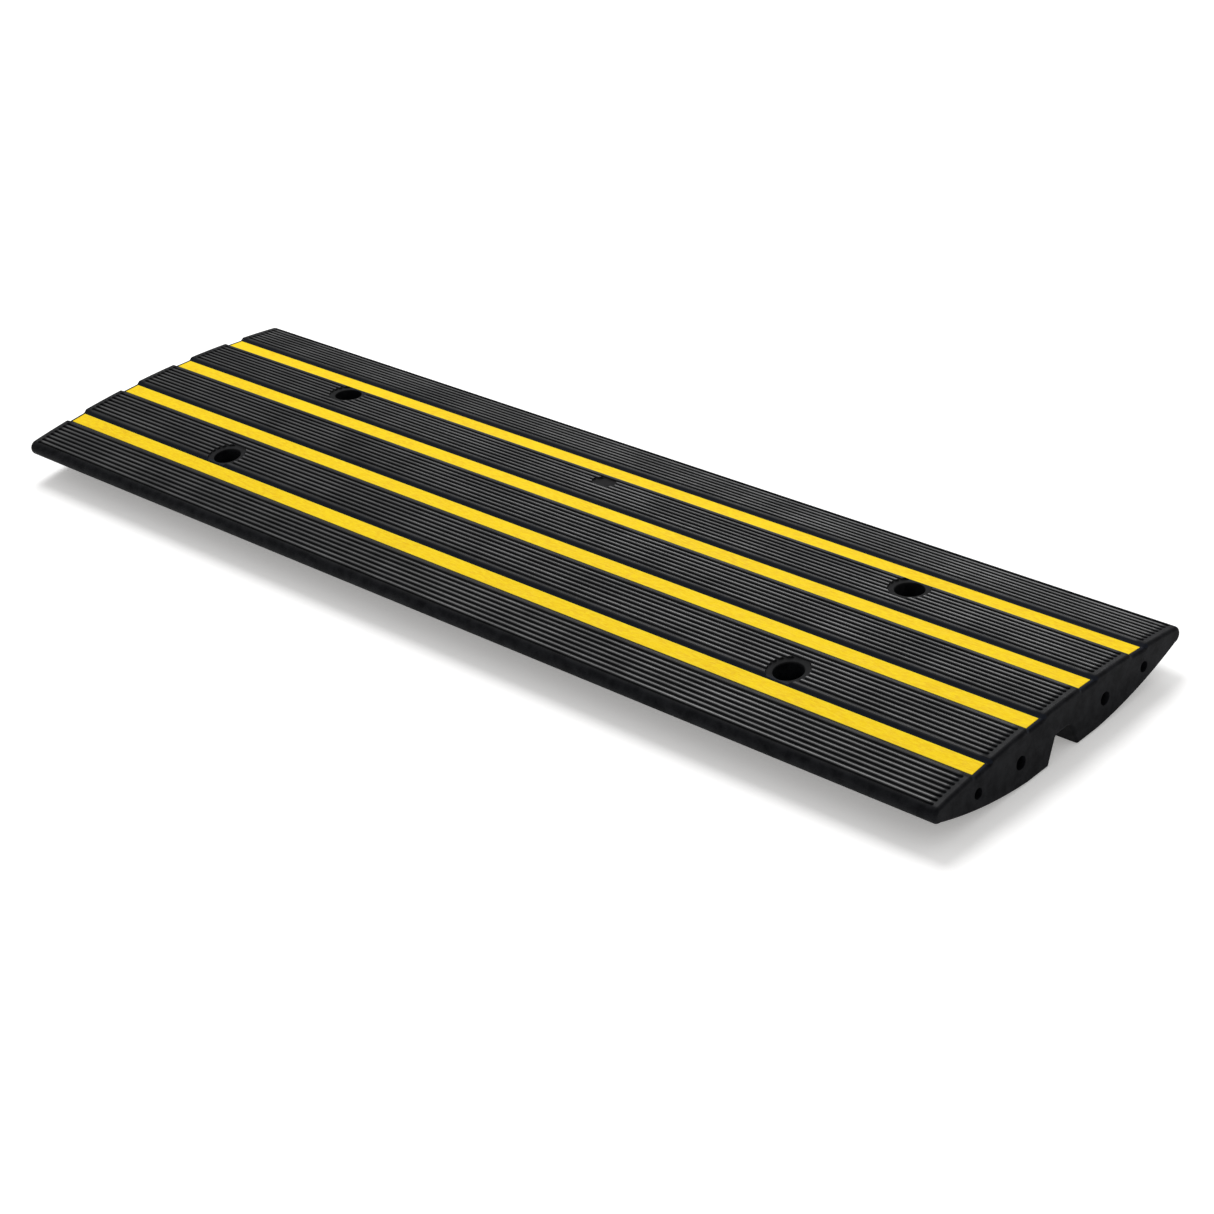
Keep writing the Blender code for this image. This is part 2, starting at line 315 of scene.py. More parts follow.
class Wiring:
    """Adds nodes to a tree and joins their sockets."""

    MIX_FACTOR, MIX_A, MIX_B, MIX_COLOUR = 0, 6, 7, 2

    def __init__(self, tree: Tree) -> None:
        """Keeps the tree to work on."""
        self.tree = tree

    def feed(self, socket: Socket, value: object) -> None:
        """Links a socket to another one, or sets its value."""
        if isinstance(value, Socket):
            self.tree.links.new(value, socket)
        else:
            socket.default_value = value

    def dress(self, node: Node, values: dict[str, object]) -> None:
        """Links or sets inputs of a node by name."""
        for key, value in values.items():
            self.feed(node.inputs[key], value)

    def add(self, kind: str, inputs: dict | list | None = None, **settings: object) -> Node:
        """Adds one node.

        Args:
            kind: The node's type.
            inputs: Values or sockets, by input name or in order.
            settings: Properties of the node.

        Returns:
            The node.
        """
        node = self.tree.nodes.new(kind)
        for key, value in settings.items():
            setattr(node, key, value)
        pairs = inputs.items() if isinstance(inputs, dict) else enumerate(inputs or [])
        for key, value in pairs:
            if value is not None:
                self.feed(node.inputs[key], value)
        return node

    def math(self, operation: str, *inputs: object, clamp: bool = False) -> Socket:
        """Adds a Math node and returns its value."""
        return self.add("ShaderNodeMath", list(inputs), operation=operation, use_clamp=clamp).outputs[0]

    def times(self, first: object, *others: object) -> Socket:
        """Multiplies values together, from left to right, and returns the product."""
        for other in others:
            first = self.math("MULTIPLY", first, other)
        return first

    def ramp(self, value: object, span: Band, result: Band = (0.0, 1.0)) -> Socket:
        """Maps one span of values smoothly to another.

        Args:
            value: The value or socket to map.
            span: Values that the two results stand for; they may fall.
            result: Results at the two ends of the span and beyond them.

        Returns:
            The mapped value.
        """
        inputs = {"Value": value, "From Min": span[0], "From Max": span[1]}
        inputs |= {"To Min": result[0], "To Max": result[1]}
        return self.add("ShaderNodeMapRange", inputs, interpolation_type="SMOOTHSTEP").outputs[0]

    def noise(self, vector: object, scale: object, detail: float = 3.0, rough: float = 0.5) -> Socket:
        """Adds a noise texture and returns its value."""
        inputs = {"Vector": vector, "Scale": scale, "Detail": detail, "Roughness": rough}
        return self.add("ShaderNodeTexNoise", inputs).outputs[0]

    def streak(self, vector: object, along: float, slant: float = 0.0) -> Socket:
        """Draws a coordinate out along X.

        Args:
            vector: The coordinate.
            along: Factor along X; small values make long streaks.
            slant: Turn about Z, in radians.

        Returns:
            The new coordinate.
        """
        inputs = {"Vector": vector, "Rotation": (0.0, 0.0, slant), "Scale": (along, 1.0, 1.0)}
        return self.add("ShaderNodeMapping", inputs).outputs[0]

    def blend(self, factor: object, a: object, b: object) -> Socket:
        """Mixes two colours."""
        node = self.add("ShaderNodeMix", None, data_type="RGBA")
        self.feed(node.inputs[self.MIX_FACTOR], factor)
        self.feed(node.inputs[self.MIX_A], a)
        self.feed(node.inputs[self.MIX_B], b)
        return node.outputs[self.MIX_COLOUR]

    def layered(self, colour: object, layers: list[tuple[object, float, Colour]]) -> Socket:
        """Lays colours over one another.

        Args:
            colour: The colour underneath.
            layers: (mask, share of it that counts, colour) of each layer, from the lowest up.

        Returns:
            The colour on top.
        """
        for mask, share, over in layers:
            colour = self.blend(self.times(mask, share), colour, rgba(over))
        return colour

    def bump(self, height: object, strength: float) -> Socket:
        """Adds a Bump node for a height in metres and returns its normal."""
        inputs = {"Strength": strength, "Distance": 1.0, "Height": height}
        return self.add("ShaderNodeBump", inputs).outputs[0]


def shader_group(name: str, inputs: dict[str, tuple], outputs: dict[str, str]) -> tuple:
    """Starts a shader node group.

    Args:
        name: Name of the group.
        inputs: Socket type and default of each input, by name.
        outputs: Socket type of each output, by name.

    Returns:
        The group, its wiring, its input node's sockets and its output node.
    """
    group = bpy.data.node_groups.new(name, "ShaderNodeTree")
    for key, (kind, default) in inputs.items():
        socket = group.interface.new_socket(key, in_out="INPUT", socket_type=kind)
        if default is not None:
            socket.default_value = default
    for key, kind in outputs.items():
        group.interface.new_socket(key, in_out="OUTPUT", socket_type=kind)
    wiring = Wiring(group)
    return group, wiring, wiring.add("NodeGroupInput").outputs, wiring.add("NodeGroupOutput")


VECTOR, FLOAT = "NodeSocketVector", "NodeSocketFloat"


@dataclass(frozen=True)
class GrainGroup:
    """Fine moulded grain: a height in metres, and a mask of sparse pits."""

    coarse_scale: float = 0.17
    cell_scale: float = 0.14
    chance_scale: float = 0.03
    cell: Band = (0.22, 0.10)
    chance: Band = (0.60, 0.66)
    fine_share: float = 0.65
    coarse_share: float = 0.8
    pit_share: float = 2.0

    def make(self) -> Tree:
        """Builds the group."""
        inputs = {"Vector": (VECTOR, None), "Scale": (FLOAT, 1500.0)}
        inputs |= {"Depth": (FLOAT, 0.0001), "Pits": (FLOAT, 0.5)}
        group, w, given, out = shader_group("fine_grain", inputs, {"Height": FLOAT, "Pit": FLOAT})
        place, scale = given["Vector"], given["Scale"]
        fine = w.noise(place, scale, 4.0, 0.6)
        coarse = w.noise(place, w.times(scale, self.coarse_scale), 3.0, 0.5)
        cell_inputs = {"Vector": place, "Scale": w.times(scale, self.cell_scale)}
        cells = w.add("ShaderNodeTexVoronoi", cell_inputs).outputs["Distance"]
        chance = w.noise(place, w.times(scale, self.chance_scale), 2.0)
        pit = w.times(w.ramp(cells, self.cell), w.ramp(chance, self.chance), given["Pits"])
        relief = w.math("ADD", w.times(fine, self.fine_share), w.times(coarse, self.coarse_share))
        relief = w.math("SUBTRACT", relief, w.times(pit, self.pit_share))
        w.dress(out, {"Height": w.times(relief, given["Depth"]), "Pit": pit})
        return group


@dataclass(frozen=True)
class MottleGroup:
    """Slow variation over a surface: one value about 0.5, and one for finer cloudiness."""

    cloud_scale: float = 9.0
    span: Band = (0.3, 0.7)

    def make(self) -> Tree:
        """Builds the group."""
        inputs = {"Vector": (VECTOR, None), "Scale": (FLOAT, 12.0)}
        group, w, given, out = shader_group("mottle", inputs, {"Slow": FLOAT, "Cloudy": FLOAT})
        slow = w.noise(given["Vector"], given["Scale"], 3.0, 0.55)
        cloudy = w.noise(given["Vector"], w.times(given["Scale"], self.cloud_scale), 5.0, 0.65)
        w.dress(out, {"Slow": w.ramp(slow, self.span), "Cloudy": w.ramp(cloudy, self.span)})
        return group


@dataclass(frozen=True)
class CrestGroup:
    """Masks for the rib crests, where a highlight is painted, dusty groove floors, trough shoulders, where bluish
    shade is painted, and the edges of strips, where a highlight is painted.

    Depths are metres under the crown. Bands past the ribs' end or edge are metres outwards. Bands from a strip are
    metres from its middle line.
    """

    crest_depth: Band = (0.0011, 0.00010)
    crest_end: Band = (0.001, -0.004)
    crest_edge: Band = (0.001, -0.001)
    crest_strip: Band = (0.0148, 0.0164)
    kept_outside: float = 0.12
    kept_by_strip: float = 0.30
    floor_begins: Band = (0.0009, 0.0019)
    floor_ends: Band = (0.0042, 0.0030)
    floor_end: Band = (-0.0035, -0.0075)
    floor_strip: Band = (0.0128, 0.0138)
    shoulder_strip: Band = (0.0140, 0.0128)
    shoulder_begins: Band = (0.0002, 0.0006)
    shoulder_ends: Band = (0.0036, 0.0030)
    shoulder_edge: Band = (-0.001, -0.004)
    strip_edge: Band = (0.0073, 0.0083)
    patch_scale: float = 17.0
    streak_scale: float = 150.0
    streak_along: float = 0.05

    def make(self) -> Tree:
        """Builds the group."""
        inputs = {"Vector": (VECTOR, None), "Radius": (FLOAT, 1.2), "Top": (FLOAT, 0.053)}
        inputs |= {"Ribs End": (FLOAT, 0.590), "Ribs Edge": (FLOAT, 0.168), "Strip Pitch": (FLOAT, 0.074)}
        outputs = {"Crest": FLOAT, "Hollow": FLOAT, "Shoulder": FLOAT, "Strip Edge": FLOAT}
        group, w, given, out = shader_group("painted_light_and_dust_masks", inputs, outputs)
        x, y, z = w.add("ShaderNodeSeparateXYZ", [given["Vector"]]).outputs
        depth = self.depth(w, given, y, z)
        past_end = w.math("SUBTRACT", w.math("ABSOLUTE", x), given["Ribs End"])
        past_edge = w.math("SUBTRACT", w.math("ABSOLUTE", y), given["Ribs Edge"])
        repeat = w.math("MODULO", w.math("ABSOLUTE", y), given["Strip Pitch"])
        from_strip = w.math("ABSOLUTE", w.math("SUBTRACT", repeat, w.times(given["Strip Pitch"], 0.5)))
        patch = w.noise(given["Vector"], self.patch_scale, 4.0, 0.55)
        streak = w.noise(w.streak(given["Vector"], self.streak_along), self.streak_scale, 3.0, 0.55)
        # Crest: where the painted highlight goes on the rib crests, broken up by patches and streaks.
        crest = w.times(
            w.ramp(depth, self.crest_depth),
            w.ramp(past_end, self.crest_end, (self.kept_outside, 1.0)),
            w.ramp(past_edge, self.crest_edge, (self.kept_outside, 1.0)),
            w.ramp(from_strip, self.crest_strip, (self.kept_by_strip, 1.0)),
            w.ramp(patch, (0.28, 0.72), (0.60, 1.0)),
            w.ramp(streak, (0.25, 0.75), (0.60, 1.0)),
        )
        hollow = w.times(
            w.ramp(depth, self.floor_begins),
            w.ramp(depth, self.floor_ends),
            w.ramp(past_end, self.floor_end),
            w.ramp(from_strip, self.floor_strip),
            w.ramp(patch, (0.30, 0.7), (0.55, 1.0)),
        )
        # Where the bluish shade is painted on the trough shoulders beside each strip.
        shoulder = w.times(
            w.ramp(from_strip, self.shoulder_strip),
            w.ramp(depth, self.shoulder_begins),
            w.ramp(depth, self.shoulder_ends),
            w.ramp(past_edge, self.shoulder_edge),
        )
        w.dress(out, {"Crest": crest, "Hollow": hollow, "Shoulder": shoulder})
        # Strip Edge: where a highlight is painted along both edges of each strip.
        w.feed(out.inputs["Strip Edge"], w.ramp(from_strip, self.strip_edge))
        return group

    def depth(self, w: Wiring, given: bpy.types.NodeOutputs, y: Socket, z: Socket) -> Socket:
        """Adds the depth of a point under the crown, which falls by b + b^2 / 2R at y, where b = y^2 / 2R."""
        diameter = w.times(given["Radius"], 2.0)
        bend = w.math("DIVIDE", w.times(y, y), diameter)
        fall = w.math("ADD", bend, w.math("DIVIDE", w.times(bend, bend), diameter))
        return w.math("SUBTRACT", w.math("SUBTRACT", given["Top"], fall), z)


@dataclass(frozen=True)
class ScuffGroup:
    """Faint scuffs that run mostly along the section, as a mask."""

    long_streak: float = 0.05
    slant_streak: float = 0.08
    slant: float = 0.6
    patch_scale: float = 0.08
    patch: Band = (0.48, 0.66)
    long_band: Band = (0.62, 0.72)
    slant_band: Band = (0.66, 0.76)

    def make(self) -> Tree:
        """Builds the group."""
        inputs = {"Vector": (VECTOR, None), "Scale": (FLOAT, 260.0), "Amount": (FLOAT, 0.5)}
        group, w, given, out = shader_group("scuffs", inputs, {"Mask": FLOAT})
        place, scale = given["Vector"], given["Scale"]
        long = w.noise(w.streak(place, self.long_streak), scale, 4.0, 0.7)
        across = w.noise(w.streak(place, self.slant_streak, self.slant), scale, 4.0, 0.7)
        where = w.ramp(w.noise(place, w.times(scale, self.patch_scale), 2.0), self.patch)
        lines = w.math("MAXIMUM", w.ramp(long, self.long_band), w.ramp(across, self.slant_band))
        w.feed(out.inputs["Mask"], w.times(lines, where, given["Amount"]))
        return group


@dataclass(frozen=True)
class Groups:
    """The shader groups that the finishes share."""

    grain: Tree
    mottle: Tree
    crest: Tree
    scuff: Tree

    @classmethod
    def make(cls) -> "Groups":
        """Builds every group once."""
        return cls(GrainGroup().make(), MottleGroup().make(), CrestGroup().make(), ScuffGroup().make())


def rgba(colour: Colour) -> tuple[float, float, float, float]:
    """Adds full alpha to a colour."""
    return (*colour, 1.0)


def start_material(name: str) -> tuple[Material, Wiring, Node, Socket]:
    """Makes an empty material.

    Args:
        name: Its name.

    Returns:
        The material, its wiring, its Principled BSDF and the Object coordinate.
    """
    made = bpy.data.materials.new(name)
    made.use_nodes = True
    w = Wiring(made.node_tree)
    shader = made.node_tree.nodes["Principled BSDF"]
    return made, w, shader, w.add("ShaderNodeTexCoord").outputs["Object"]


def use_group(w: Wiring, group: Tree, **values: object) -> bpy.types.NodeOutputs:
    """Places a group in a material and returns its outputs."""
    return w.add("ShaderNodeGroup", values, node_tree=group).outputs


@dataclass(frozen=True)
class RubberFinish:
    """Moulded black rubber: matt sides, rib crests painted grey as a painted highlight under a glossy coat, a little
    dust in the grooves, a painted bluish shade on the trough shoulders and painted shade in the pits.
    """

    base: Colour = (0.0026, 0.0028, 0.0036)
    pale: Colour = (0.0100, 0.0104, 0.0118)
    # Painted highlight: this grey on the rib crests stands in for the light that they catch.
    crest: Colour = (0.060, 0.060, 0.061)
    # Painted shade: a bluish tint for the shade on the trough shoulders.
    shoulder: Colour = (0.0100, 0.0125, 0.0190)
    dust: Colour = (0.050, 0.049, 0.048)
    shoulder_share: float = 0.7
    hollow_share: float = 0.20
    scuff_share: float = 0.35
    roughness: Band = (0.50, 0.60)
    crest_roughness: float = -0.10
    hollow_roughness: float = 0.15
    bump: float = 0.55
    sheen: float = 0.75
    sheen_roughness: float = 0.32
    specular: float = 0.035
    crown_radius: float = 1.2
    crown_top: float = 0.053

    def make(self, groups: Groups) -> Material:
        """Builds the material."""
        made, w, shader, place = start_material("moulded_black_rubber")
        mottle = use_group(w, groups.mottle, Vector=place, Scale=9.0)
        grain = use_group(w, groups.grain, Vector=place, Scale=1500.0, Depth=0.00022, Pits=0.6)
        crest = use_group(w, groups.crest, Vector=place, Radius=self.crown_radius, Top=self.crown_top)
        scuff = use_group(w, groups.scuff, Vector=place, Scale=300.0, Amount=0.55)
        colour = w.blend(mottle["Cloudy"], rgba(self.base), rgba(self.pale))
        layers = [
            # Painted shade: the trough shoulders are tinted bluish for the shade that falls there.
            (crest["Shoulder"], self.shoulder_share, self.shoulder),
            # Painted highlight: the rib crests are painted grey in place of the light that they catch.
            (crest["Crest"], 1.0, self.crest),
            (crest["Hollow"], self.hollow_share, self.dust),
            (scuff["Mask"], self.scuff_share, self.dust),
            # Painted shade: the pits are painted in the darkest tone for the shade inside them.
            (grain["Pit"], 1.0, self.base),
        ]
        rough = w.ramp(mottle["Slow"], (0.0, 1.0), self.roughness)
        rough = w.math("ADD", rough, w.times(crest["Crest"], self.crest_roughness))
        rough = w.math("ADD", rough, w.times(crest["Hollow"], self.hollow_roughness), clamp=True)
        values = {"Base Color": w.layered(colour, layers), "Roughness": rough}
        values |= {"Normal": w.bump(grain["Height"], self.bump), "Specular IOR Level": self.specular}
        values |= {"Coat Weight": w.times(crest["Crest"], self.sheen), "Coat Roughness": self.sheen_roughness}
        w.dress(shader, values)
        return made


@dataclass(frozen=True)
class StripFinish:
    """Yellow thermoplastic strip: satin, finely textured, with a painted highlight along its edges, and a little
    soiled.
    """

    base: Colour = (0.86, 0.560, 0.0010)
    pale: Colour = (0.96, 0.700, 0.0080)
    deep: Colour = (0.76, 0.440, 0.0005)
    soil: Colour = (0.36, 0.24, 0.02)
    # Painted highlight: the lighter yellow laid along both edges of each strip.
    edge: Colour = (0.95, 0.78, 0.030)
    deep_share: float = 0.65
    thread_share: float = 0.75
    cloud_share: float = 0.30
    edge_share: float = 0.6
    scuff_share: float = 0.25
    pit_share: float = 0.35
    roughness: Band = (0.50, 0.62)
    bump: float = 0.6
    specular: float = 0.05
    thread_height: float = 0.00010
    thread_turns: tuple[Point2, ...] = ((0.45, 620.0), (-0.75, 520.0))
    thread_along: float = 0.22
    thread_band: Band = (0.40, 0.66)
    second_thread: float = 0.7

    def make(self, groups: Groups) -> Material:
        """Builds the material."""
        made, w, shader, place = start_material("yellow_thermoplastic")
        mottle = use_group(w, groups.mottle, Vector=place, Scale=16.0)
        grain = use_group(w, groups.grain, Vector=place, Scale=1100.0, Depth=0.00016, Pits=0.25)
        scuff = use_group(w, groups.scuff, Vector=place, Scale=240.0, Amount=0.5)
        thread = self.threads(w, place)
        lanes = use_group(w, groups.crest, Vector=place)
        layers = [
            (mottle["Slow"], self.deep_share, self.deep),
            (thread, self.thread_share, self.pale),
            (mottle["Cloudy"], self.cloud_share, self.pale),
            # Painted highlight along the strip's edges.
            (lanes["Strip Edge"], self.edge_share, self.edge),
            (scuff["Mask"], self.scuff_share, self.soil),
            (grain["Pit"], self.pit_share, self.soil),
        ]
        height = w.math("ADD", grain["Height"], w.times(thread, self.thread_height))
        rough = w.ramp(mottle["Cloudy"], (0.0, 1.0), self.roughness)
        values = {"Base Color": w.layered(rgba(self.base), layers), "Roughness": rough}
        values |= {"Normal": w.bump(height, self.bump), "Specular IOR Level": self.specular}
        w.dress(shader, values)
        return made

    def threads(self, w: Wiring, place: Socket) -> Socket:
        """Adds the fine slanted threads that are rolled into the strip, as a mask."""
        masks = []
        for slant, scale in self.thread_turns:
            along = w.streak(place, self.thread_along, slant)
            masks.append(w.ramp(w.noise(along, scale, 2.0, 0.5), self.thread_band))
        return w.math("MAXIMUM", masks[0], w.times(masks[1], self.second_thread))


@dataclass(frozen=True)
class SteelFinish:
    """Zinc-plated steel: dull, spangled, with patches of grime."""

    base: Colour = (0.46, 0.47, 0.49)
    dull: Colour = (0.24, 0.245, 0.25)
    grime: Colour = (0.05, 0.047, 0.042)
    grime_share: float = 0.3
    scuff_share: float = 0.5
    roughness: Band = (0.34, 0.58)
    bump: float = 0.5

    def make(self, groups: Groups) -> Material:
        """Builds the material."""
        made, w, shader, place = start_material("dull_zinc_steel")
        mottle = use_group(w, groups.mottle, Vector=place, Scale=70.0)
        grain = use_group(w, groups.grain, Vector=place, Scale=2600.0, Depth=0.00005, Pits=0.3)
        scuff = use_group(w, groups.scuff, Vector=place, Scale=900.0, Amount=0.8)
        layers = [
            (mottle["Cloudy"], 1.0, self.dull),
            (mottle["Slow"], self.grime_share, self.grime),
            (scuff["Mask"], self.scuff_share, self.base),
        ]
        rough = w.ramp(mottle["Cloudy"], (0.0, 1.0), self.roughness)
        values = {"Base Color": w.layered(rgba(self.base), layers), "Roughness": rough}
        w.dress(shader, values | {"Normal": w.bump(grain["Height"], self.bump), "Metallic": 1.0})
        return made


# ---- the section


@dataclass(frozen=True)
class Section:
    """Sizes of the moulded section, which every piece takes its place from."""

    length: float = 1.200
    width: float = 0.350
    height: float = 0.053
    crown_radius: float = 1.200
    lip_radius: float = 0.008
    foot_outer: float = 0.050
    belly_slope: float = 0.07
    end_round: float = 0.0035
    channel_width: float = 0.043
    channel_roof: float = 0.020
    channel_depth: float = 0.025
    channel_corner: float = 0.005
    strip_width: float = 0.018
    strip_pitch: float = 0.074
    strip_count: int = 4
    crown_steps: int = 28
    lip_steps: int = 18
    belly_steps: int = 18
    corner_steps: int = 6
    end_steps: int = 8

    def crown(self, y: float) -> float:
        """Height of the rib crests at y."""
        return self.height - self.crown_radius + sqrt(self.crown_radius**2 - y**2)

    def tilt(self, y: float) -> float:
        """Turn about X that stands an upright shape square to the crown at y."""
        return -asin(y / self.crown_radius)

    def on_crown(self, x: float, y: float) -> Matrix:
        """Places a shape on the crown at (x, y), square to it."""
        return Matrix.Translation((x, y, self.crown(y))) @ Matrix.Rotation(self.tilt(y), 4, "X")

    def strip_places(self) -> list[float]:
        """Y of each strip's middle, front to back."""
        return [self.strip_pitch * (i - (self.strip_count - 1) / 2) for i in range(self.strip_count)]

    def lip_centre(self) -> Point2:
        """Centre (y, z) of the rounded lip."""
        y = self.width / 2 - self.lip_radius
        return y, self.crown(y) - self.lip_radius / cos(self.tilt(y))

    def belly(self, y: float) -> float:
        """Height of the underside at y, from the foot's edge out to the lip."""
        lip_y, lip_z = self.lip_centre()
        span = lip_y - self.foot_outer
        bend = (lip_z - self.lip_radius - self.belly_slope * span) / span**2
        out = max(abs(y) - self.foot_outer, 0.0)
        return self.belly_slope * out + bend * out**2

    def channel(self) -> list[Point2]:
        """Points (y, z) of the channel on +Y, from its mouth to its roof."""
        wall = atan2(self.channel_depth, (self.channel_width - self.channel_roof) / 2)
        centre_y = self.channel_roof / 2 - self.channel_corner * tan(wall / 2)
        centre_z = self.channel_depth - self.channel_corner
        first = pi / 2 - wall
        points = [(self.channel_width / 2, 0.0)]
        for i in range(self.corner_steps + 1):
            turn = first + (pi / 2 - first) * i / self.corner_steps
            points.append((centre_y + self.channel_corner * cos(turn), centre_z + self.channel_corner * sin(turn)))
        return points

    def outline(self) -> list[Point2]:
        """The whole closed section, as points (y, z), anticlockwise."""
        lip_y, lip_z = self.lip_centre()
        tread = [lip_y * i / self.crown_steps for i in range(self.crown_steps)]
        half = [(y, self.crown(y)) for y in tread]
        top_turn = pi / 2 + self.tilt(lip_y)
        for i in range(self.lip_steps + 1):
            turn = top_turn + (-pi / 2 - top_turn) * i / self.lip_steps
            half.append((lip_y + self.lip_radius * cos(turn), lip_z + self.lip_radius * sin(turn)))
        for i in range(1, self.belly_steps + 1):
            y = lip_y + (self.foot_outer - lip_y) * i / self.belly_steps
            half.append((y, self.belly(y)))
        half += self.channel()
        return anticlockwise(half + [(-y, z) for y, z in reversed(half) if y > 0])


@dataclass(frozen=True)
class Troughs:
    """The four troughs across the tread and the pockets in their floors that the strips lie in."""

    below_crest: float = 0.0028
    thickness: float = 0.002
    ledge: float = 0.0005
    run: float = 0.0036
    end_inset: float = 0.0045
    top: float = 0.005
    overrun: float = 0.005
    shoulder_angle: float = 9.0
    foot_soft: float = 0.0007
    shoulder_soft: float = 0.0014

    def flare(self, section: Section) -> list[Point2]:
        """The trough's outline, with soft shoulders and a soft inner corner."""
        foot = (section.strip_width / 2 + self.ledge, -self.below_crest)
        crest = (foot[0] + self.run, 0.0)
        angle = radians(self.shoulder_angle)
        away = (crest[0] + cos(angle), sin(angle))
        half = softened(foot, (0.0, foot[1]), crest, self.foot_soft, steps=4)
        half += softened(crest, foot, away, self.shoulder_soft, steps=6)
        return mirrored(half + [(half[-1][0] + CUTTER_FLARE, self.top)])

    def cutters(self, section: Section) -> tuple[list, list]:
        """Makes the trough cutters and the pocket cutters."""
        flares, pockets = [], []
        stations = round_ends(section.length / 2, -section.end_round, section.end_steps, self.overrun)
        half = section.strip_width / 2
        reach = section.length / 2 - self.end_inset
        bottom = -self.below_crest - self.thickness
        pocket = [(-half, bottom), (half, bottom), (half, self.top), (-half, self.top)]
        for i, y in enumerate(section.strip_places()):
            place = section.on_crown(0.0, y)
            flares.append(swept(f"trough_{i}", self.flare(section), stations, place))
            pockets.append(swept(f"pocket_{i}", pocket, [(-reach, 0.0), (reach, 0.0)], place))
        return flares, pockets


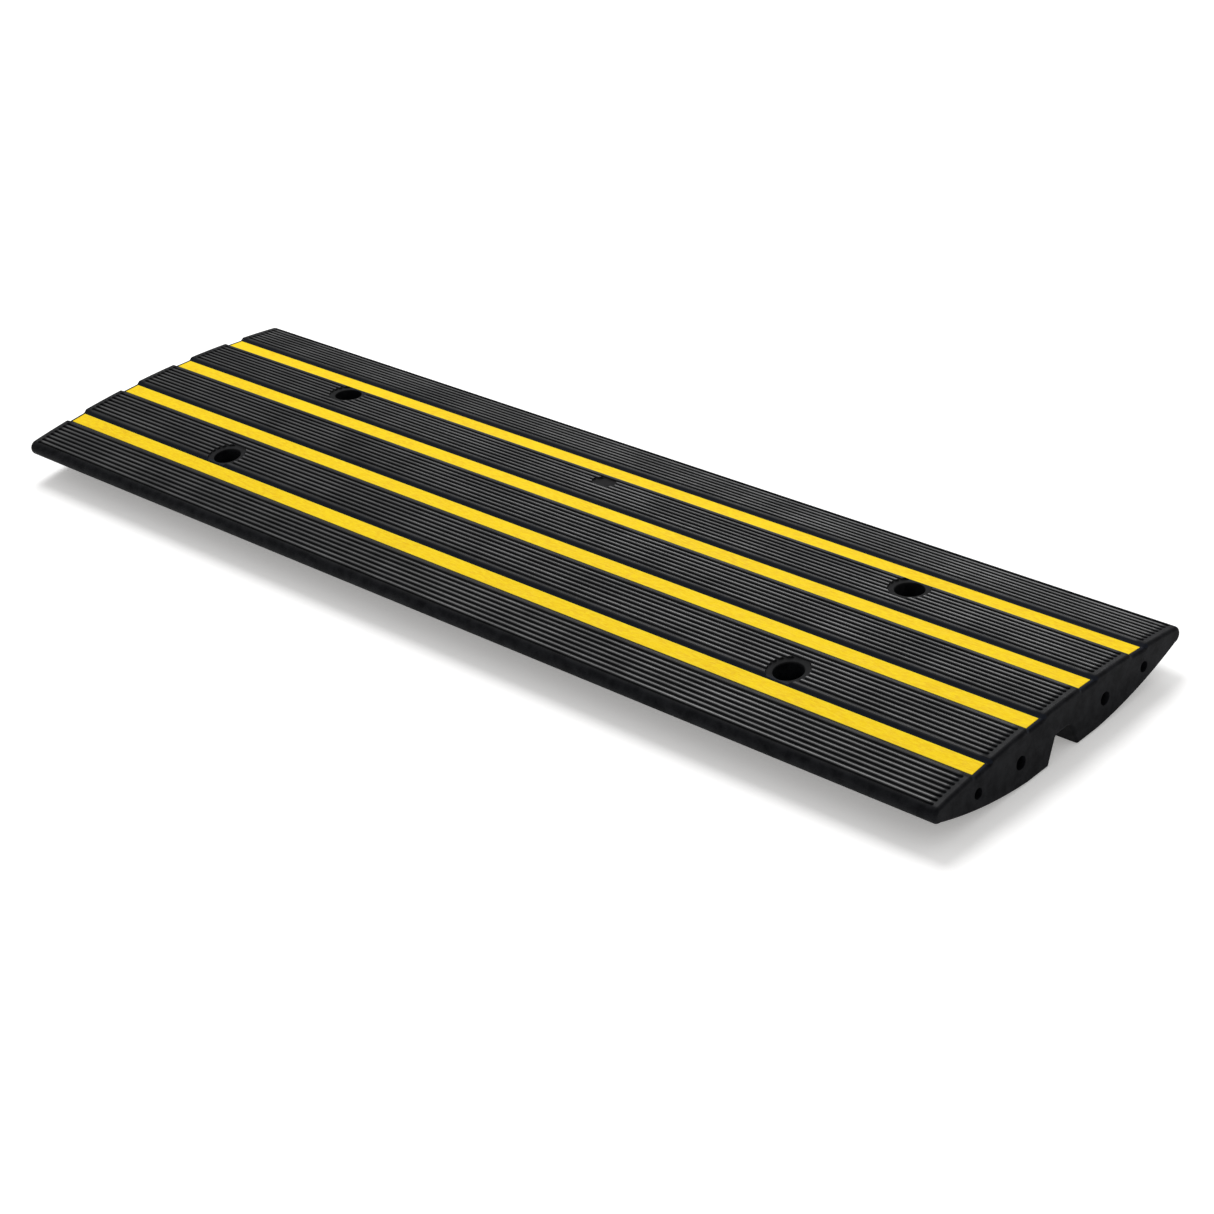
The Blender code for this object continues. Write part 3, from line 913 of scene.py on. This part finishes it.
@dataclass(frozen=True)
class Ribs:
    """The grooves that leave the ribs standing, laid out across the crown by a node tree."""

    pitch: float = 0.0056
    half_width: float = 0.0013
    depth: float = 0.0020
    crest_round: float = 0.0012
    floor_round: float = 0.0006
    draft: float = 0.00015
    end_inset: float = 0.0075
    lip_margin: float = 0.0070
    crest_turn: float = 74.0
    lead: Point2 = (0.0002, 0.00004)
    top: Point2 = (0.0001, 0.0010)
    floor_steps: int = 4
    crest_steps: int = 5
    end_steps: int = 9

    def levels(self) -> list[Point2]:
        """(half width, height) of the groove from its floor to above the crest."""
        low = self.half_width - self.draft
        levels = []
        for i in range(self.floor_steps + 1):
            turn = pi / 2 * i / self.floor_steps
            side = low - self.floor_round * (1 - sin(turn))
            levels.append((side, -self.depth + self.floor_round * (1 - cos(turn))))
        for i in range(self.crest_steps + 1):
            turn = radians(self.crest_turn) * i / self.crest_steps
            side = self.half_width + self.crest_round * (1 - cos(turn))
            levels.append((side, -self.crest_round * (1 - sin(turn))))
        side = levels[-1][0] + self.lead[0]
        return levels + [(side, self.lead[1]), (side + self.top[0], self.top[1])]

    def groove(self, section: Section) -> Object:
        """Makes one groove cutter, round at both ends, along X through the origin."""
        reach = section.length / 2 - self.end_inset - self.half_width
        rings = []
        for side, up in self.levels():
            ring = []
            for way in (1, -1):
                for i in range(self.end_steps + 1):
                    turn = -pi / 2 + pi * i / self.end_steps + (0 if way == 1 else pi)
                    ring.append((way * reach + side * cos(turn), side * sin(turn), up))
            rings.append(ring)
        return loft("groove", rings)

    def tree(self, material: Material) -> Tree:
        """Builds the node tree that repeats a groove across one panel of the crown."""
        tree = bpy.data.node_groups.new("grooves_across_crown", "GeometryNodeTree")
        face = tree.interface
        face.new_socket("Groove", in_out="INPUT", socket_type="NodeSocketGeometry")
        face.new_socket("Count", in_out="INPUT", socket_type="NodeSocketInt")
        for name in ("First", "Pitch", "Crown Radius", "Crown Top"):
            face.new_socket(name, in_out="INPUT", socket_type=FLOAT)
        face.new_socket("Grooves", in_out="OUTPUT", socket_type="NodeSocketGeometry")
        w = Wiring(tree)
        given = w.add("NodeGroupInput").outputs
        points = w.add("GeometryNodePoints", {"Count": given["Count"]}).outputs[0]
        index = w.add("GeometryNodeInputIndex").outputs[0]
        y = w.math("ADD", given["First"], w.times(index, given["Pitch"]))
        radius = given["Crown Radius"]
        root = w.math("SQRT", w.math("SUBTRACT", w.times(radius, radius), w.times(y, y)))
        z = w.math("ADD", w.math("SUBTRACT", given["Crown Top"], radius), root)
        place = w.add("ShaderNodeCombineXYZ", [0.0, y, z]).outputs[0]
        moved = w.add("GeometryNodeSetPosition", {"Geometry": points, "Position": place}).outputs[0]
        tilt = w.times(w.math("ARCSINE", w.math("DIVIDE", y, radius)), -1.0)
        turn = w.add("FunctionNodeEulerToRotation", [w.add("ShaderNodeCombineXYZ", [tilt]).outputs[0]]).outputs[0]
        copies = {"Points": moved, "Instance": given["Groove"], "Rotation": turn}
        instances = w.add("GeometryNodeInstanceOnPoints", copies).outputs[0]
        real = w.add("GeometryNodeRealizeInstances", [instances]).outputs[0]
        dressed = w.add("GeometryNodeSetMaterial", {"Geometry": real, "Material": material}).outputs[0]
        w.add("NodeGroupOutput", [dressed])
        return tree

    def panels(self, section: Section, troughs: Troughs) -> list[tuple[float, int]]:
        """(Y of the first groove, number of grooves) of each panel, front to back."""
        margin = troughs.ledge + troughs.run + self.pitch - self.half_width
        half = section.strip_width / 2
        places = section.strip_places()
        start = places[-1] + half + margin
        count = self.held(section.width / 2 - self.lip_margin - start)
        found = [(-start - self.pitch * (count - 1), count), (start, count)]
        for before, after in zip(places, places[1:]):
            count = self.held(after - before - 2 * (half + margin))
            found.append(((before + after - self.pitch * (count - 1)) / 2, count))
        return sorted(found)

    def held(self, stretch: float, slack: float = 0.001) -> int:
        """How many grooves a stretch holds, with one at each end."""
        return int(stretch / self.pitch + slack) + 1

    def cutters(self, section: Section, troughs: Troughs, material: Material) -> list[Object]:
        """Makes the groove cutters.

        Args:
            section: The section that they cut.
            troughs: The troughs that they keep clear of.
            material: The material that the node tree gives them.

        Returns:
            One object for each panel, with the node tree's result baked in.
        """
        tree = self.tree(material)
        sockets = {item.name: item.identifier for item in tree.interface.items_tree}
        made = []
        for i, (first, count) in enumerate(self.panels(section, troughs)):
            grooves = self.groove(section)
            modifier = grooves.modifiers.new("across_crown", "NODES")
            modifier.node_group = tree
            values = {"Count": count, "First": first, "Pitch": self.pitch}
            values |= {"Crown Radius": section.crown_radius, "Crown Top": section.height}
            for name, value in values.items():
                modifier[sockets[name]] = value
            mesh = evaluated_mesh(grooves, f"grooves_{i}")
            grooves.modifiers.clear()
            discard([grooves])
            made.append(linked(bpy.data.objects.new(f"grooves_{i}", mesh)))
        return made


@dataclass(frozen=True)
class BoltHoles:
    """The four counterbored bolt holes, each in a ring sunk into the ribs."""

    x: float = 0.376
    to_strip: float = 0.0174
    bore: float = 0.014
    counterbore: float = 0.028
    ring: float = 0.040
    ring_depth: float = 0.0022
    seat: float = 0.020
    rim_slope: float = 0.16
    rim_soft: float = 0.0007
    mouth_soft: float = 0.0011
    floor_soft: float = 0.0005
    overlap: float = 0.0016
    above: float = 0.006
    well_soft: float = 0.0008
    well_top: float = 0.070
    bore_soft: float = 0.0006
    bore_low: float = -0.004
    bore_past: float = 0.002

    def y(self, section: Section) -> float:
        """Distance of the holes from the middle of the section."""
        return section.strip_places()[-1] - section.strip_width / 2 - self.to_strip

    def places(self, section: Section) -> dict[str, Point2]:
        """(x, y) of each hole, by side and end."""
        y = self.y(section)
        return {f"{s.name}_{e.name}".lower(): (e.value * self.x, s.value * y) for s in Side for e in End}

    def ring_profile(self, radius: float) -> list[Point2]:
        """(radius, height) of the sunk ring, soft at its rim and at its inner edge."""
        floor, mouth = -self.ring_depth, self.counterbore / 2
        rim = softened((radius, 0.0), (radius, floor), (radius + 1, self.rim_slope), self.rim_soft, steps=5)
        inner = softened((mouth, floor), (mouth, floor - 1), (radius, floor), self.mouth_soft, steps=5)
        corner = softened((radius, floor), (mouth, floor), (radius, 0.0), self.floor_soft, steps=3)
        bottom = (mouth - CUTTER_FLARE / 2, floor - self.overlap)
        return [bottom] + inner + corner + rim + [(rim[-1][0] + CUTTER_FLARE, self.above)]

    def cutters(self, section: Section) -> tuple[list, list, list]:
        """Makes the ring, counterbore and bore cutters."""
        rings, wells, bores = [], [], []
        r, well = self.bore / 2, self.counterbore / 2
        ring = self.ring_profile(self.ring / 2)
        wall = softened((well, self.seat), (0.0, self.seat), (well, 1.0), self.well_soft, steps=4)
        wall.append((well, self.well_top))
        mouth = softened((r, 0.0), (r, 1.0), (1.0, -0.2), self.bore_soft, steps=4)
        bore = [(mouth[-1][0] + CUTTER_FLARE, self.bore_low)] + mouth[::-1] + [(r, self.seat + self.bore_past)]
        for name, (x, y) in self.places(section).items():
            place = Matrix.Translation((x, y, 0.0))
            rings.append(turned(f"ring_{name}", ring, ROUND_SIDES, section.on_crown(x, y)))
            wells.append(turned(f"well_{name}", wall, ROUND_SIDES, place))
            bores.append(turned(f"bore_{name}", bore, SMALL_ROUND_SIDES, place))
        return rings, wells, bores


@dataclass(frozen=True)
class EndSockets:
    """Blind sockets in the end faces, for joining pins."""

    depth: float = 0.050
    inner: Point3 = (0.0125, 0.060, 0.025)
    outer: Point3 = (0.010, 0.118, 0.027)
    mouth_soft: float = 0.0006
    tip_soft: float = 0.001
    above: float = 0.004

    def profile(self, diameter: float) -> list[Point2]:
        """(radius, height) of a socket cutter from its tip to beyond its soft mouth."""
        r = diameter / 2
        mouth = softened((r, 0.0), (r, -1.0), (1.0, 0.2), self.mouth_soft, steps=5)
        tip = softened((r, -self.depth), (0.0, -self.depth), (r, 0.0), self.tip_soft, steps=3)
        return tip + mouth + [(mouth[-1][0] + CUTTER_FLARE, self.above)]

    def cutters(self, section: Section) -> list[Object]:
        """Makes every socket cutter. Inner and outer sockets are given as (diameter, y, z)."""
        made = []
        for end, side, (diameter, y, z) in product(End, Side, (self.inner, self.outer)):
            turn = Matrix.Rotation(end.value * pi / 2, 4, "Y")
            place = Matrix.Translation((end.value * section.length / 2, side.value * y, z)) @ turn
            made.append(turned(f"socket_{len(made)}", self.profile(diameter), SMALL_ROUND_SIDES, place))
        return made


@dataclass(frozen=True)
class CentrePad:
    """A plain oval recess midway along, in line with the back bolt holes."""

    length: float = 0.028
    width: float = 0.020
    dish: tuple[Point2, ...] = ((0.02, 0.0002), (0.5, 0.00005))
    floor_soft: float = 0.0006
    rim_soft: float = 0.0005
    rim_flare: float = 0.005
    sides: int = 80

    def cutters(self, section: Section, holes: BoltHoles) -> list[Object]:
        """Makes the cutter, with a soft rim and a slightly raised middle, from a profile of radius 1."""
        depth = holes.ring_depth
        profile = [(r, -depth + rise) for r, rise in self.dish]
        profile += softened((1.0, -depth), (0.0, -depth), (1.0, 0.0), self.floor_soft, steps=3)
        profile += softened((1.0, 0.0), (1.0, -depth), (2.0, holes.rim_slope), self.rim_soft, steps=4)
        profile.append((profile[-1][0] + self.rim_flare, holes.above))
        oval = Matrix.Diagonal((self.length / 2, self.width / 2, 1.0, 1.0))
        return [turned("pad", profile, self.sides, section.on_crown(0.0, holes.y(section)) @ oval)]


@dataclass(frozen=True)
class RubberBody:
    """The moulded body, with everything that is cut into it."""

    section: Section
    troughs: Troughs = Troughs()
    ribs: Ribs = Ribs()
    holes: BoltHoles = BoltHoles()
    sockets: EndSockets = EndSockets()
    pad: CentrePad = CentrePad()

    def build(self, material: Material) -> Object:
        """Makes the body, dresses it and sets it in the frame."""
        ends = round_ends(self.section.length / 2, self.section.end_round, self.section.end_steps)
        body = swept("moulded_body", self.section.outline(), ends)
        flares, pockets = self.troughs.cutters(self.section)
        rings, wells, bores = self.holes.cutters(self.section)
        rings += self.pad.cutters(self.section, self.holes)
        grooves = self.ribs.cutters(self.section, self.troughs, material)
        for cutters in (flares, pockets, grooves, rings, wells, bores, self.sockets.cutters(self.section)):
            cut(body, cutters)
        body.data.materials.clear()
        body.data.materials.append(material)
        smooth(body)
        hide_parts("rubber_body")
        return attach(body, "root")


@dataclass(frozen=True)
class YellowStrips:
    """The four strips, each lying in its pocket with a hairline gap."""

    section: Section
    troughs: Troughs = Troughs()
    gap: float = 0.0003
    edge: float = 0.0005
    flat_points: Point2 = (0.6, 0.2)
    end_steps: int = 4
    names: tuple[str, ...] = ("front_outer", "front_inner", "back_inner", "back_outer")

    def outline(self) -> list[Point2]:
        """Section of a strip, (across, up), with soft top edges."""
        half = self.section.strip_width / 2 - self.gap
        top = -self.troughs.below_crest
        bottom = top - self.troughs.thickness + self.gap
        side = [(half, bottom)] + softened((half, top), (half, bottom), (0.0, top), self.edge, steps=5)
        return mirrored(side + [(half * share, top) for share in self.flat_points])

    def build(self, material: Material) -> list[Object]:
        """Makes the strips, dresses them and sets them in the frame."""
        made = []
        reach = self.section.length / 2 - self.troughs.end_inset - self.gap
        ends = round_ends(reach, self.edge, self.end_steps)
        for name, y in zip(self.names, self.section.strip_places()):
            strip = swept(f"yellow_strip_{name}", self.outline(), ends, self.section.on_crown(0.0, y))
            strip.data.materials.append(material)
            smooth(strip)
            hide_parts(f"strip_{name}")
            made.append(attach(strip, "root"))
        return made


@dataclass(frozen=True)
class SeatWashers:
    """The flat steel washer on the seat of each bolt hole."""

    section: Section
    holes: BoltHoles = BoltHoles()
    thickness: float = 0.003
    gap: float = 0.0003
    edge: float = 0.0004

    def profile(self) -> list[Point2]:
        """Closed (radius, height) outline of the washer."""
        inner, outer = self.holes.bore / 2, self.holes.counterbore / 2 - self.gap
        low = self.holes.seat + self.gap
        high = low + self.thickness
        corners = [(outer, low), (outer, high), (inner, high), (inner, low)]
        points = []
        for i, corner in enumerate(corners):
            points += softened(corner, corners[i - 1], corners[(i + 1) % len(corners)], self.edge, steps=4)
        return points

    def build(self, material: Material) -> list[Object]:
        """Makes the washers, dresses them and sets them in the frame."""
        made = []
        profile = self.profile()
        count = len(profile)
        verts, faces = [], []
        for i in range(ROUND_SIDES):
            turn = 2 * pi * i / ROUND_SIDES
            verts += [(r * cos(turn), r * sin(turn), h) for r, h in profile]
            shift = ((i + 1) % ROUND_SIDES - i) * count
            for j in range(count):
                a, b = i * count + j, i * count + (j + 1) % count
                faces.append([a, b, b + shift, a + shift])
        for name, (x, y) in self.holes.places(self.section).items():
            washer = object_from(f"steel_washer_{name}", verts, faces, Matrix.Translation((x, y, 0.0)))
            washer.data.materials.append(material)
            smooth(washer)
            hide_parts(f"seat_washer_{name}")
            made.append(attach(washer, "root"))
        return made


# ---- studio


@dataclass(frozen=True)
class Studio:
    """A white floor, soft light and the camera."""

    camera_place: Point3 = (1.70503, -1.56651, 1.25880)
    azimuth: float = 46.17
    elevation: float = 29.63
    roll: float = -6.165
    lens: float = 80.50
    sensor: float = 36.0
    clip_end: float = 60.0
    floor_half: float = 14.0
    floor_height: float = -0.0002
    floor_roughness: float = 0.9
    floor_specular: float = 0.1
    floor_colour: Colour = (0.93, 0.93, 0.93)
    floor_glow: float = 0.28
    glow_colour: Colour = (1.0, 0.985, 0.965)
    sky: Colour = (1.0, 1.0, 1.0)
    sky_strength: float = 0.56
    sun_from: Point3 = (-0.46, 0.32, 0.83)
    sun_power: float = 1.5
    sun_angle: float = 26.0
    box_place: Point3 = (-1.25, 2.15, 1.70)
    box_size: Point2 = (1.8, 1.0)
    box_power: float = 24.0

    def key_light(self) -> Object:
        """Makes the soft light from above and behind."""
        data = bpy.data.lights.new("key_light", "SUN")
        data.energy = self.sun_power
        data.angle = radians(self.sun_angle)
        return self.lamp(data, (0.0, 0.0, 0.0), self.sun_from)

    def soft_box(self) -> Object:
        """Makes the soft box behind, whose reflection runs along the ribs."""
        data = bpy.data.lights.new("soft_box", "AREA")
        data.shape = "RECTANGLE"
        data.size, data.size_y = self.box_size
        data.energy = self.box_power
        return self.lamp(data, self.box_place, self.box_place)

    def lamp(self, data: bpy.types.Light, place: Point3, shines_from: Point3) -> Object:
        """Makes a lamp at a place that shines from a direction towards the origin."""
        lamp = linked(bpy.data.objects.new(data.name, data))
        lamp.location = place
        lamp.rotation_euler = (-Vector(shines_from)).to_track_quat("-Z", "Y").to_euler()
        return lamp

    def floor(self) -> Object:
        """Makes the pale floor under the feet."""
        corners = [(-1, -1), (1, -1), (1, 1), (-1, 1)]
        mesh = bpy.data.meshes.new("floor")
        verts = [(x * self.floor_half, y * self.floor_half, self.floor_height) for x, y in corners]
        mesh.from_pydata(verts, [], [(0, 1, 2, 3)])
        floor = linked(bpy.data.objects.new("floor", mesh))
        made, w, shader, _ = start_material("white_floor")
        values = {"Base Color": rgba(self.floor_colour), "Roughness": self.floor_roughness}
        values |= {"Emission Color": rgba(self.glow_colour), "Emission Strength": self.floor_glow}
        w.dress(shader, values | {"Specular IOR Level": self.floor_specular})
        mesh.materials.append(made)
        return floor

    def camera(self) -> Object:
        """Makes the camera and gives it to the scene."""
        az, el, roll = (radians(v) for v in (self.azimuth, self.elevation, self.roll))
        ahead = Vector((-sin(az) * cos(el), cos(az) * cos(el), -sin(el)))
        right = ahead.cross(Vector((0.0, 0.0, 1.0))).normalized()
        up = right.cross(ahead)
        right, up = right * cos(roll) + up * sin(roll), up * cos(roll) - right * sin(roll)
        data = bpy.data.cameras.new("camera")
        data.sensor_width = self.sensor
        data.lens = self.lens
        data.clip_end = self.clip_end
        camera = linked(bpy.data.objects.new("camera", data))
        turn = Matrix((right, up, -ahead)).transposed().to_4x4()
        camera.matrix_world = Matrix.Translation(self.camera_place) @ turn
        bpy.context.scene.camera = camera
        return camera

    def world(self) -> None:
        """Sets an even white surround."""
        world = bpy.data.worlds.new("surround")
        world.use_nodes = True
        background = world.node_tree.nodes["Background"]
        background.inputs["Color"].default_value = rgba(self.sky)
        background.inputs["Strength"].default_value = self.sky_strength
        bpy.context.scene.world = world

    def build(self) -> None:
        """Makes everything round the object, and keeps its colours as the materials give them."""
        bpy.context.scene.view_settings.view_transform = "Standard"
        self.floor()
        self.camera()
        self.world()
        self.key_light()
        self.soft_box()


def report(piece: Object) -> None:
    """Logs one finished piece and its number of triangles."""
    mesh = evaluated_mesh(piece, "counted")
    mesh.calc_loop_triangles()
    LOG.info("%s: %d triangles", piece.name, len(mesh.loop_triangles))
    bpy.data.meshes.remove(mesh)


def main() -> None:
    """Builds the section, then the studio round it."""
    logging.basicConfig(level=logging.INFO, format="%(name)s: %(message)s")
    groups = Groups.make()
    section = Section()
    pieces = [RubberBody(section).build(RubberFinish().make(groups))]
    pieces += YellowStrips(section).build(StripFinish().make(groups))
    pieces += SeatWashers(section).build(SteelFinish().make(groups))
    for piece in pieces:
        report(piece)
    Studio().build()


if __name__ == "__main__":
    main()
